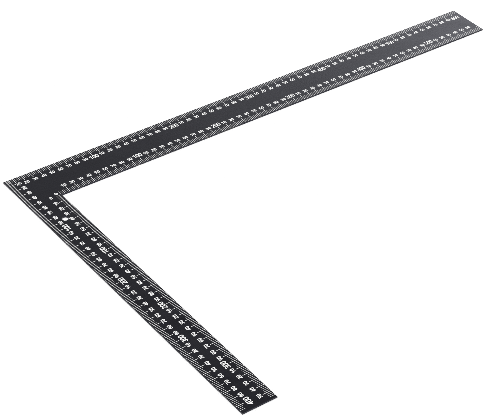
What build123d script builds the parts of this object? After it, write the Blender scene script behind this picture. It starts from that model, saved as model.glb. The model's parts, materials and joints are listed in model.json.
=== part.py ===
"""Steel square ruler: one flat L-shaped steel blade with four printed millimetre scales.

The origin is the outer corner (the heel) on the underside. The long arm runs along +X,
the short arm along -Y, and the scales face +Z. All sizes are in millimetres.
"""
import os
from collections import namedtuple
from math import atan2, degrees

from build123d import *

# Blade
LONG_ARM_LENGTH = 610.0
SHORT_ARM_LENGTH = 410.0
LONG_ARM_WIDTH = 50.8
SHORT_ARM_WIDTH = 38.0
THICKNESS = 1.5
EDGE_BREAK = 0.15
HOLE_DIAMETER = 7.0
HOLE_CENTRE = (20.0, -86.5)

# Printed marks
INK = 0.05
EDGE_MARGIN = 0.5
FINE_STEP = 2
FINE_LENGTH = 6.0
FINE_WIDTH = 0.3
CENTIMETRE = 10
CENTIMETRE_LENGTH = 9.1
CENTIMETRE_WIDTH = 0.5

# Numerals: the tens restart after every hundred, which is larger
HUNDRED = 100
NUMERAL_MARGIN = 10.6
TENS_HEIGHT = 4.2
TENS_WIDTH = 2.65
TENS_STROKE = 0.85
TENS_PITCH = 2.95
HUNDREDS_HEIGHT = 5.8
HUNDREDS_WIDTH = 3.25
HUNDREDS_STROKE = 0.95
HUNDREDS_PITCH = 3.55
LOOP_ROUNDING = 0.45

# Corner marks: the two outer scales cross at the heel and share their first number, and
# each inner scale starts with a short zero line and a zero
HEEL_MARKS = (2, 4, 6)
HEEL_NUMBER_OFFSET = 11.8
INNER_ZERO_OFFSET = 4.2
ZERO_LINE_MARGIN = 0.6
SHORT_ZERO_CENTRE = (25.7, -50.2)
DIAGONAL = 45

Font = namedtuple("Font", "height width stroke pitch")
TENS_FONT = Font(TENS_HEIGHT, TENS_WIDTH, TENS_STROKE, TENS_PITCH)
HUNDREDS_FONT = Font(HUNDREDS_HEIGHT, HUNDREDS_WIDTH, HUNDREDS_STROKE, HUNDREDS_PITCH)

# A scale starts at its zero corner, runs one way along an edge, and is printed inward from
# that edge. Its numerals are turned so that their tops point at the outer edge of the arm.
Scale = namedtuple("Scale", "zero run inward turn last_mark last_numeral")
HEEL = Vector(0, 0)
INNER_CORNER = Vector(SHORT_ARM_WIDTH, -LONG_ARM_WIDTH)
ALONG_LONG_ARM = Vector(1, 0)
ALONG_SHORT_ARM = Vector(0, -1)
SCALES = {
    "long_outer": Scale(HEEL, ALONG_LONG_ARM, Vector(0, -1), 0, 608, 600),
    "long_inner": Scale(INNER_CORNER, ALONG_LONG_ARM, Vector(0, 1), 0, 570, 560),
    "short_outer": Scale(HEEL, ALONG_SHORT_ARM, Vector(1, 0), 90, 406, 400),
    "short_inner": Scale(INNER_CORNER, ALONG_SHORT_ARM, Vector(-1, 0), 90, 356, 350),
}


def save(piece, name):
    """Label a finished piece and write it as its own STEP file."""
    piece.label = name
    export_step(piece, f"parts/{name}.step")


def place(scale, along, depth):
    """The point at a distance along a scale and a depth in from its edge."""
    return scale.zero + scale.run * along + scale.inward * depth


def turned(scale, along, depth):
    """The same point, turned to the way that the scale's numerals read."""
    point = place(scale, along, depth)
    return Location((point.X, point.Y, 0), (0, 0, scale.turn))


# Each digit is drawn with a bold pen. `top` and `side` are how far the pen's centre line
# reaches from the middle of the digit, upwards and sideways.

def bar(start, end, stroke):
    """One straight pen stroke with square ends."""
    with BuildLine() as pen:
        Line(start, end)
    trace(pen.line, line_width=stroke)


def loop(centre_y, side, half_height, stroke):
    """A closed loop whose corners are rounded almost as far as its shorter side allows."""
    outside = (2 * side + stroke, 2 * half_height + stroke)
    counter = (2 * side - stroke, 2 * half_height - stroke)
    with Locations((0, centre_y)):
        RectangleRounded(*outside, radius=LOOP_ROUNDING * min(outside))
        RectangleRounded(*counter, radius=LOOP_ROUNDING * min(counter), mode=Mode.SUBTRACT)


def trim(top, side, stroke):
    """Cut slanting strokes off level with the digit's own box."""
    Rectangle(2 * side + stroke, 2 * top + stroke, mode=Mode.INTERSECT)


def zero(top, side, stroke):
    loop(0, side, top, stroke)


def one(top, side, stroke):
    stem = 0.35 * side
    bar((-side - stroke, 0.35 * top), (stem, 0.9 * top), stroke)
    bar((stem, top + stroke / 2), (stem, -top - stroke / 2), stroke)
    trim(top, side, stroke)


def two(top, side, stroke):
    lean = 2 * degrees(atan2(side, 2 * top - side))
    foot = Vector(-side, -top)
    with BuildLine() as pen:
        bow = CenterArc((0, top - side), side, 165, -165 - lean)
        Line(bow @ 1, foot + (foot - bow @ 1) * 0.3)
    trace(pen.line, line_width=stroke)
    bar((-side - stroke / 2, -top), (side + stroke / 2, -top), stroke)
    trim(top, side, stroke)


def three(top, side, stroke):
    upper = 0.48 * top
    lower = top - upper
    waist = top - 2 * upper
    with BuildLine() as pen:
        CenterArc((side - upper, top - upper), upper, 155, -245)
    trace(pen.line, line_width=stroke)
    with BuildLine() as pen:
        CenterArc((side - lower, lower - top), lower, 90, -245)
    trace(pen.line, line_width=stroke)
    bar((-0.4 * side, waist), (side - lower, waist), stroke)


def four(top, side, stroke):
    stem = 0.62 * side
    shelf = -0.5 * top
    bar((-side - stroke / 2, shelf), (side + stroke / 2, shelf), stroke)
    bar((-side, shelf), (stem, top), 0.75 * stroke)
    bar((stem, top + stroke / 2), (stem, -top - stroke / 2), stroke)
    trim(top, side, stroke)


def five(top, side, stroke):
    spine = -0.8 * side
    bowl = 0.62 * top
    waist = 2 * bowl - top
    bar((spine - stroke / 2, top), (side, top), stroke)
    bar((spine, top), (spine, waist - stroke / 2), stroke)
    with BuildLine() as pen:
        Line((spine, waist), (side - bowl, waist))
        CenterArc((side - bowl, bowl - top), bowl, 90, -215)
    trace(pen.line, line_width=stroke)


def six(top, side, stroke):
    bowl = 0.58 * top
    with BuildLine() as pen:
        Line((-side, bowl - top), (-side, top - side))
        CenterArc((0, top - side), side, 180, -140)
    trace(pen.line, line_width=stroke)
    loop(bowl - top, side, bowl, stroke)


def seven(top, side, stroke):
    bar((-side - stroke / 2, top), (side + stroke / 2, top), stroke)
    bar((side, top), (-0.55 * side, -top - stroke), stroke)
    trim(top, side, stroke)


def eight(top, side, stroke):
    upper = 0.48 * top
    loop(top - upper, 0.92 * side, upper, stroke)
    loop(-upper, side, top - upper, stroke)


PENS = dict(zip("012345678", (zero, one, two, three, four, five, six, seven, eight)))


def digit(character, font):
    """One digit as a flat sketch centred on its own middle. A nine is a six turned over."""
    if character == "9":
        return digit("6", font).rotate(Axis.Z, 180)
    with BuildSketch() as glyph:
        PENS[character]((font.height - font.stroke) / 2, (font.width - font.stroke) / 2, font.stroke)
    return glyph.sketch


def fine_marks(scale):
    """The two-millimetre graduations, without the centimetres and the ones crossed at the heel."""
    crossed = HEEL_MARKS if scale.zero == HEEL else ()
    every = range(FINE_STEP, scale.last_mark + 1, FINE_STEP)
    return [mark for mark in every if mark % CENTIMETRE and mark not in crossed]


def centimetre_marks(scale):
    return range(CENTIMETRE, scale.last_mark + 1, CENTIMETRE)


def line_spots(scale, positions, start, end):
    """Where the middles of a scale's lines lie, for lines from one depth to another."""
    return [turned(scale, mark, (start + end) / 2) for mark in positions]


def lines(name, scale, positions, length, width):
    """Thin printed bars across a scale's edge, one solid for each graduation."""
    with BuildPart() as bars:
        with BuildSketch(Plane.XY.offset(THICKNESS)):
            with Locations(line_spots(scale, positions, EDGE_MARGIN, length)):
                Rectangle(width, length - EDGE_MARGIN)
        extrude(amount=INK)
    save(bars.part, name)


def numerals(name, scale, labels, font):
    """Printed numbers centred on their graduations: labels maps a position to its text."""
    depth = NUMERAL_MARGIN + font.height / 2
    reading_sign = 1 if scale.turn == 0 else -1
    spots = {}
    for mark, text in labels.items():
        for index, character in enumerate(text):
            shift = (index - (len(text) - 1) / 2) * font.pitch * reading_sign
            spots.setdefault(character, []).append(turned(scale, mark + shift, depth))
    with BuildPart() as printed:
        with BuildSketch(Plane.XY.offset(THICKNESS)):
            for character, locations in spots.items():
                glyph = digit(character, font)
                with Locations(locations):
                    add(glyph)
        extrude(amount=INK)
    save(printed.part, name)


os.makedirs("parts", exist_ok=True)

with BuildPart() as blade:
    with BuildSketch():
        with BuildLine():
            Polyline(
                (0, 0),
                (LONG_ARM_LENGTH, 0),
                (LONG_ARM_LENGTH, -LONG_ARM_WIDTH),
                (SHORT_ARM_WIDTH, -LONG_ARM_WIDTH),
                (SHORT_ARM_WIDTH, -SHORT_ARM_LENGTH),
                (0, -SHORT_ARM_LENGTH),
                close=True,
            )
        make_face()
        with Locations(HOLE_CENTRE):
            Circle(HOLE_DIAMETER / 2, mode=Mode.SUBTRACT)
    extrude(amount=THICKNESS)
    rims = blade.faces().filter_by(Axis.Z)
    outline = [rim.outer_wire().edges() for rim in rims]
    chamfer([edge for wire in outline for edge in wire], EDGE_BREAK)
save(blade.part, "steel_blade")

for scale_name, scale in SCALES.items():
    centimetres = centimetre_marks(scale)
    lines(f"{scale_name}_fine_lines", scale, fine_marks(scale), FINE_LENGTH, FINE_WIDTH)
    lines(f"{scale_name}_centimetre_lines", scale, centimetres, CENTIMETRE_LENGTH, CENTIMETRE_WIDTH)
    numbered = range(CENTIMETRE, scale.last_numeral + 1, CENTIMETRE)
    shared = CENTIMETRE if scale.zero == HEEL else None
    tens = {mark: str(mark % HUNDRED) for mark in numbered if mark % HUNDRED and mark != shared}
    hundreds = {mark: str(mark) for mark in numbered if mark % HUNDRED == 0}
    numerals(f"{scale_name}_tens", scale, tens, TENS_FONT)
    numerals(f"{scale_name}_hundreds", scale, hundreds, HUNDREDS_FONT)

with BuildPart() as heel_lines:
    with BuildSketch(Plane.XY.offset(THICKNESS)):
        for scale in (SCALES["long_outer"], SCALES["short_outer"]):
            with Locations(line_spots(scale, HEEL_MARKS, EDGE_MARGIN, FINE_LENGTH)):
                Rectangle(FINE_WIDTH, FINE_LENGTH - EDGE_MARGIN)
    extrude(amount=INK)
save(heel_lines.part, "heel_crossed_lines")

with BuildPart() as zero_lines:
    with BuildSketch(Plane.XY.offset(THICKNESS)):
        for scale in (SCALES["long_inner"], SCALES["short_inner"]):
            with Locations(line_spots(scale, (0,), ZERO_LINE_MARGIN, FINE_LENGTH)):
                Rectangle(FINE_WIDTH, FINE_LENGTH - ZERO_LINE_MARGIN)
    extrude(amount=INK)
save(zero_lines.part, "inner_zero_lines")

half_pitch = TENS_PITCH / 2
with BuildPart() as corner_numerals:
    with BuildSketch(Plane.XY.offset(THICKNESS)):
        with Locations(Location((HEEL_NUMBER_OFFSET, -HEEL_NUMBER_OFFSET, 0), (0, 0, DIAGONAL))):
            with Locations((-half_pitch, 0)):
                add(digit("1", TENS_FONT))
            with Locations((half_pitch, 0)):
                add(digit("0", TENS_FONT))
        inner_zero = INNER_CORNER + Vector(-INNER_ZERO_OFFSET, INNER_ZERO_OFFSET)
        with Locations(Location((inner_zero.X, inner_zero.Y, 0), (0, 0, DIAGONAL))):
            add(digit("0", TENS_FONT))
        with Locations(SHORT_ZERO_CENTRE):
            add(digit("0", TENS_FONT))
    extrude(amount=INK)
save(corner_numerals.part, "corner_numerals")
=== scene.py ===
"""Looks of the steel square ruler: its black coat, its white printed marks, a pale floor and soft light.

Everything is in metres in the part's own frame: the heel is at the origin, the long arm runs along +X,
the short arm along -Y, and the printed face looks up.
"""
import json
from math import cos, pi, radians, sin

import bpy
from mathutils import Matrix, Vector


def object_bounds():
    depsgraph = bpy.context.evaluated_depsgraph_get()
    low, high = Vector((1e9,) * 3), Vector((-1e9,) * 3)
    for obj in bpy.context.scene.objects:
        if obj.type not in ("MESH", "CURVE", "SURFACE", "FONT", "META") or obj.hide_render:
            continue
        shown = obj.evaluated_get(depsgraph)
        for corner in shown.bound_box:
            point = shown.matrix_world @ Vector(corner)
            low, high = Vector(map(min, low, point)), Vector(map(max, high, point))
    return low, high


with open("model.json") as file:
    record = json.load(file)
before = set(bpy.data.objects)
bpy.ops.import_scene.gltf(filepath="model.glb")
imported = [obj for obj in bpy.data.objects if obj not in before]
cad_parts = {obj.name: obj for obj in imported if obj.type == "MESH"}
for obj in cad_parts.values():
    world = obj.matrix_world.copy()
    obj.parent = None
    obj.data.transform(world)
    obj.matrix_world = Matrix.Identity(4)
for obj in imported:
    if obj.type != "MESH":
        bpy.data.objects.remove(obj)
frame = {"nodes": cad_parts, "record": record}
cad_low, cad_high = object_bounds()
MM = 0.001

# Camera: what it aims at on the printed face, as shares of the long and of the short arm, and from where
AIM_ALONG_LONG = 0.2872
AIM_ALONG_SHORT = 0.4237
CAMERA_HEADING = 37.45
CAMERA_ELEVATION = 37.06
CAMERA_ROLL = 1.90
CAMERA_DISTANCE = 1.772
CAMERA_NEAREST = 0.05
CAMERA_FARTHEST = 100
LENS = 130.8
SENSOR = 36.0
PIXEL_FILTER = 0.55

# Studio: the sky's brightness by the height it is seen at (0 at the horizon, 1 overhead), and the lamps
FLOOR_SIZE = 30.0
FLOOR_GAP = 0.02 * MM
FLOOR_COLOUR = (0.97, 0.97, 0.97, 1)
FLOOR_ROUGHNESS = 0.9
SKY_LEVELS = {0.0: 0.40, 0.25: 0.52, 0.45: 1.0, 0.62: 0.05, 1.0: 0.05}
SOFTBOX_DISTANCE = 2.6

# Most of a noise's values lie between these two
NOISE_LOW = 0.3
NOISE_HIGH = 0.7

# Black coat
COAT_DARK = (0.0024, 0.0024, 0.0034, 1)
COAT_LIGHT = (0.0044, 0.0044, 0.0058, 1)
COAT_MOTTLE = (0.0018, 0.0018, 0.0026, 1)
COAT_SHEEN = (0.72, 0.745, 1.0, 1)
COAT_SCRATCH = (0.07, 0.07, 0.075, 1)
WORN_STEEL = (0.20, 0.19, 0.18, 1)
WORN_WIDTH = 0.55 * MM
COAT_IOR = 1.5
COAT_SMOOTHEST = 0.30
COAT_ROUGHEST = 0.39
GRAIN_ROUGHNESS = 0.02
MOTTLE_SHARE = 0.35
SCRATCH_SHARE = 0.22
SCRATCH_ROUGHNESS = 0.12
WEAR_SHARE = 0.5
WEAR_METALLIC = 0.6
FINE_RELIEF = 0.02 * MM
CLOUD_RELIEF = 0.4 * MM

# White ink
INK_WARM = (0.77, 0.77, 0.76, 1)
INK_COOL = (0.85, 0.85, 0.85, 1)
INK_THIN = (0.55, 0.55, 0.56, 1)
INK_SMOOTHEST = 0.45
INK_ROUGHEST = 0.62
PINHOLE_SHARE = 0.4


# Small helpers for node trees

def new_material(name):
    """A new material, its node tree, and its Principled shader."""
    material = bpy.data.materials.new(name)
    material.use_nodes = True
    return material, material.node_tree, material.node_tree.nodes["Principled BSDF"]


def feed(tree, socket, value):
    """Give a socket a plain value, or link it to another node's output."""
    if isinstance(value, bpy.types.NodeSocket):
        tree.links.new(value, socket)
    else:
        socket.default_value = value


def node(tree, kind, inputs=None, **settings):
    """A node with its settings, and its inputs given as values or as other nodes' outputs."""
    made = tree.nodes.new(kind)
    for key, value in settings.items():
        setattr(made, key, value)
    for key, value in (inputs or {}).items():
        feed(tree, made.inputs[key], value)
    return made


def maths(tree, operation, first, second=0.0, clamp=False):
    made = node(tree, "ShaderNodeMath", {0: first, 1: second}, operation=operation, use_clamp=clamp)
    return made.outputs[0]


def vector_maths(tree, operation, first, second=(0, 0, 0)):
    return node(tree, "ShaderNodeVectorMath", {0: first, 1: second}, operation=operation).outputs[0]


def remap(tree, value, low, high, to_low=0.0, to_high=1.0):
    """Smoothly takes value from low..high to to_low..to_high."""
    inputs = {"Value": value, "From Min": low, "From Max": high, "To Min": to_low, "To Max": to_high}
    return node(tree, "ShaderNodeMapRange", inputs, interpolation_type="SMOOTHSTEP").outputs["Result"]


def noise(tree, per_metre, detail=3.0, roughness=0.55, turn=0.0):
    """Noise from 0 to 1 with so many features per metre along each axis, turned about the vertical."""
    where = node(tree, "ShaderNodeTexCoord").outputs["Object"]
    turned = node(tree, "ShaderNodeMapping", {"Vector": where, "Rotation": (0, 0, radians(turn))})
    scaled = vector_maths(tree, "MULTIPLY", turned.outputs["Vector"], per_metre)
    inputs = {"Vector": scaled, "Scale": 1.0, "Detail": detail, "Roughness": roughness}
    return node(tree, "ShaderNodeTexNoise", inputs).outputs["Fac"]


def mixed(tree, share, first, second):
    """Two colours mixed by a share."""
    made = node(tree, "ShaderNodeMix", data_type="RGBA")
    feed(tree, made.inputs["Factor"], share)
    colour_inputs = [socket for socket in made.inputs if socket.type == "RGBA"]
    for socket, colour in zip(colour_inputs, (first, second)):
        feed(tree, socket, colour)
    return next(socket for socket in made.outputs if socket.type == "RGBA")


def bump(tree, height, distance, strength, under=None):
    """A normal raised by a height, on top of another normal if one is given."""
    inputs = {"Height": height, "Distance": distance, "Strength": strength}
    if under is not None:
        inputs["Normal"] = under
    return node(tree, "ShaderNodeBump", inputs).outputs["Normal"]


# Materials

def edge_depth(tree):
    """How far a point lies in from the edge of the L, in metres: the larger of its depths in the two arms."""
    mounts = {mount["name"]: Vector(mount["pos_m"]) for mount in frame["record"]["mounts"]}
    long_arm = (Vector((cad_low.x, mounts["inner_long_edge"].y, 0)), cad_high)
    short_arm = (cad_low, Vector((mounts["inner_short_edge"].x, cad_high.y, 0)))
    where = node(tree, "ShaderNodeTexCoord").outputs["Object"]
    depths = []
    for low, high in (long_arm, short_arm):
        reach = vector_maths(tree, "ABSOLUTE", vector_maths(tree, "SUBTRACT", where, (low + high) / 2))
        depth = vector_maths(tree, "SUBTRACT", (high - low) / 2, reach)
        axes = node(tree, "ShaderNodeSeparateXYZ", {0: depth})
        depths.append(maths(tree, "MINIMUM", axes.outputs["X"], axes.outputs["Y"]))
    return maths(tree, "MAXIMUM", *depths)


def coat_scratches(tree):
    """Thin straight scratches in two directions, mostly none: 0 on sound coat and 1 along a scratch."""
    fine = noise(tree, (9, 1900, 600), detail=1, turn=17)
    long = noise(tree, (6, 1300, 600), detail=1, turn=-61)
    fine_ones = remap(tree, fine, low=0.79, high=0.84)
    long_ones = remap(tree, long, low=0.80, high=0.85)
    return maths(tree, "ADD", fine_ones, long_ones, clamp=True)


def coat_wear(tree):
    """Where the coat is rubbed thin along the edges, in patches: 0 on sound coat and 1 on the worst."""
    rim = remap(tree, edge_depth(tree), low=0.0, high=WORN_WIDTH, to_low=1.0, to_high=0.0)
    patches = remap(tree, noise(tree, (90, 90, 90), detail=5, roughness=0.7), low=0.50, high=0.66)
    return maths(tree, "MULTIPLY", rim, patches)


def black_coat():
    """Satin black coat on rolled steel: cloudy, finely pebbled, faintly grained, rubbed at the edges."""
    material, tree, shader = new_material("black_coat")
    clouds = noise(tree, (22, 22, 22), detail=4)
    mottle = noise(tree, (420, 420, 420), detail=3)
    grain = noise(tree, (14, 1500, 900), detail=4, roughness=0.65)
    pebble = noise(tree, (2300, 2300, 2300), detail=2)
    smudges = noise(tree, (16, 38, 30), detail=5, roughness=0.6, turn=28)
    scratches = coat_scratches(tree)
    wear = coat_wear(tree)

    cloudy = mixed(tree, clouds, COAT_DARK, COAT_LIGHT)
    specks = remap(tree, mottle, NOISE_LOW, NOISE_HIGH, to_high=MOTTLE_SHARE)
    mottled = mixed(tree, specks, cloudy, COAT_MOTTLE)
    scratched = mixed(tree, maths(tree, "MULTIPLY", scratches, SCRATCH_SHARE), mottled, COAT_SCRATCH)
    worn = mixed(tree, maths(tree, "MULTIPLY", wear, WEAR_SHARE), scratched, WORN_STEEL)
    feed(tree, shader.inputs["Base Color"], worn)
    feed(tree, shader.inputs["Metallic"], maths(tree, "MULTIPLY", wear, WEAR_METALLIC))

    smudged = remap(tree, smudges, NOISE_LOW, NOISE_HIGH, COAT_SMOOTHEST, COAT_ROUGHEST)
    ridges = remap(tree, grain, NOISE_LOW, NOISE_HIGH, -GRAIN_ROUGHNESS, GRAIN_ROUGHNESS)
    grained = maths(tree, "ADD", smudged, ridges)
    scored = maths(tree, "MULTIPLY", scratches, SCRATCH_ROUGHNESS)
    feed(tree, shader.inputs["Roughness"], maths(tree, "ADD", grained, scored))

    relief = bump(tree, pebble, FINE_RELIEF, strength=0.35)
    relief = bump(tree, grain, FINE_RELIEF, strength=0.25, under=relief)
    relief = bump(tree, clouds, CLOUD_RELIEF, strength=0.05, under=relief)
    feed(tree, shader.inputs["Normal"], relief)
    shader.inputs["IOR"].default_value = COAT_IOR
    shader.inputs["Specular Tint"].default_value = COAT_SHEEN
    return material


def white_ink():
    """Screen-printed white ink: slightly uneven, with pinholes and a dry, finely textured surface."""
    material, tree, shader = new_material("white_ink")
    fade = noise(tree, (35, 35, 35), detail=4)
    speckle = noise(tree, (3200, 3200, 3200), detail=2)
    weave = noise(tree, (5200, 5200, 5200), detail=1)
    even = mixed(tree, fade, INK_WARM, INK_COOL)
    pinholes = remap(tree, speckle, low=0.66, high=0.78, to_high=PINHOLE_SHARE)
    feed(tree, shader.inputs["Base Color"], mixed(tree, pinholes, even, INK_THIN))
    roughness = remap(tree, fade, NOISE_LOW, NOISE_HIGH, INK_SMOOTHEST, INK_ROUGHEST)
    feed(tree, shader.inputs["Roughness"], roughness)
    feed(tree, shader.inputs["Normal"], bump(tree, weave, FINE_RELIEF, strength=0.3))
    return material


# Studio

def direction(heading, elevation):
    """The unit vector that points at a heading from +Y towards +X, and up by an elevation."""
    level = cos(radians(elevation))
    return Vector((sin(radians(heading)) * level, cos(radians(heading)) * level, sin(radians(elevation))))


def lamp(light, away):
    """A lamp that stands off in one direction from the object and faces it."""
    made = bpy.data.objects.new(light.name, light)
    bpy.context.scene.collection.objects.link(made)
    made.visible_camera = False
    made.location = (cad_low + cad_high) / 2 + away * SOFTBOX_DISTANCE
    made.rotation_euler = away.to_track_quat("Z", "Y").to_euler()


def far_softbox(name, heading, elevation, spread, irradiance):
    """A big soft lamp so far off that it lights the whole floor evenly, spread over so many degrees."""
    light = bpy.data.lights.new(name, "SUN")
    light.angle = radians(spread)
    light.energy = irradiance
    lamp(light, direction(heading, elevation))


def softbox(name, heading, elevation, width, height, radiance):
    """A soft rectangular lamp close by, with its power worked out from its brightness."""
    light = bpy.data.lights.new(name, "AREA")
    light.shape = "RECTANGLE"
    light.size = width
    light.size_y = height
    light.energy = radiance * width * height * pi
    lamp(light, direction(heading, elevation))


def floor():
    """A wide pale floor just under the ruler."""
    half = FLOOR_SIZE / 2
    corners = [(-half, -half, 0), (half, -half, 0), (half, half, 0), (-half, half, 0)]
    mesh = bpy.data.meshes.new("floor")
    mesh.from_pydata(corners, [], [(0, 1, 2, 3)])
    made = bpy.data.objects.new("floor", mesh)
    made.location = (0, 0, cad_low.z - FLOOR_GAP)
    bpy.context.scene.collection.objects.link(made)
    material, _, shader = new_material("floor")
    shader.inputs["Base Color"].default_value = FLOOR_COLOUR
    shader.inputs["Roughness"].default_value = FLOOR_ROUGHNESS
    mesh.materials.append(material)


def sky():
    """A plain grey surround that fades from the horizon to overhead."""
    world = bpy.data.worlds.new("studio")
    bpy.context.scene.world = world
    world.use_nodes = True
    tree = world.node_tree
    towards = node(tree, "ShaderNodeTexCoord").outputs["Generated"]
    height = node(tree, "ShaderNodeSeparateXYZ", {0: towards}).outputs["Z"]
    ramp = node(tree, "ShaderNodeValToRGB", {"Fac": height})
    stops = ramp.color_ramp.elements
    while len(stops) < len(SKY_LEVELS):
        stops.new(0.5)
    brightest = max(SKY_LEVELS.values())
    for stop, (place, level) in zip(stops, SKY_LEVELS.items()):
        grey = level / brightest
        stop.position = place
        stop.color = (grey, grey, grey, 1)
    feed(tree, tree.nodes["Background"].inputs["Color"], ramp.outputs["Color"])
    feed(tree, tree.nodes["Background"].inputs["Strength"], brightest)


def camera():
    """A long lens that looks down across the ruler from the heel's side."""
    data = bpy.data.cameras.new("camera")
    data.lens = LENS
    data.sensor_width = SENSOR
    data.clip_start = CAMERA_NEAREST
    data.clip_end = CAMERA_FARTHEST
    made = bpy.data.objects.new("camera", data)
    bpy.context.scene.collection.objects.link(made)
    aim = Vector((cad_high.x * AIM_ALONG_LONG, cad_low.y * AIM_ALONG_SHORT, cad_high.z))
    forward = direction(CAMERA_HEADING, -CAMERA_ELEVATION)
    level = forward.to_track_quat("-Z", "Y").to_matrix().to_4x4()
    rolled = level @ Matrix.Rotation(radians(CAMERA_ROLL), 4, "Z")
    made.matrix_world = Matrix.Translation(aim - forward * CAMERA_DISTANCE) @ rolled
    bpy.context.scene.camera = made


finishes = {"black_steel": black_coat(), "white_ink": white_ink()}
for subpart in frame["record"]["subparts"]:
    piece = frame["nodes"][subpart["node"]]
    piece.data.materials.clear()
    piece.data.materials.append(finishes[subpart["material_slot"]])

floor()
sky()
far_softbox("key", heading=-75, elevation=55, spread=40, irradiance=1.75)
far_softbox("fill", heading=165, elevation=55, spread=40, irradiance=1.55)
softbox("low_back", heading=50, elevation=20, width=1.6, height=0.5, radiance=2.2)
softbox("high_back", heading=60, elevation=28, width=1.0, height=0.6, radiance=2.1)
camera()
bpy.context.scene.view_settings.view_transform = "Standard"

# The finest marks are narrower than a pixel: a wide pixel filter blurs them and the denoiser smears them
bpy.context.scene.cycles.filter_width = PIXEL_FILTER
bpy.context.scene.cycles.use_denoising = False
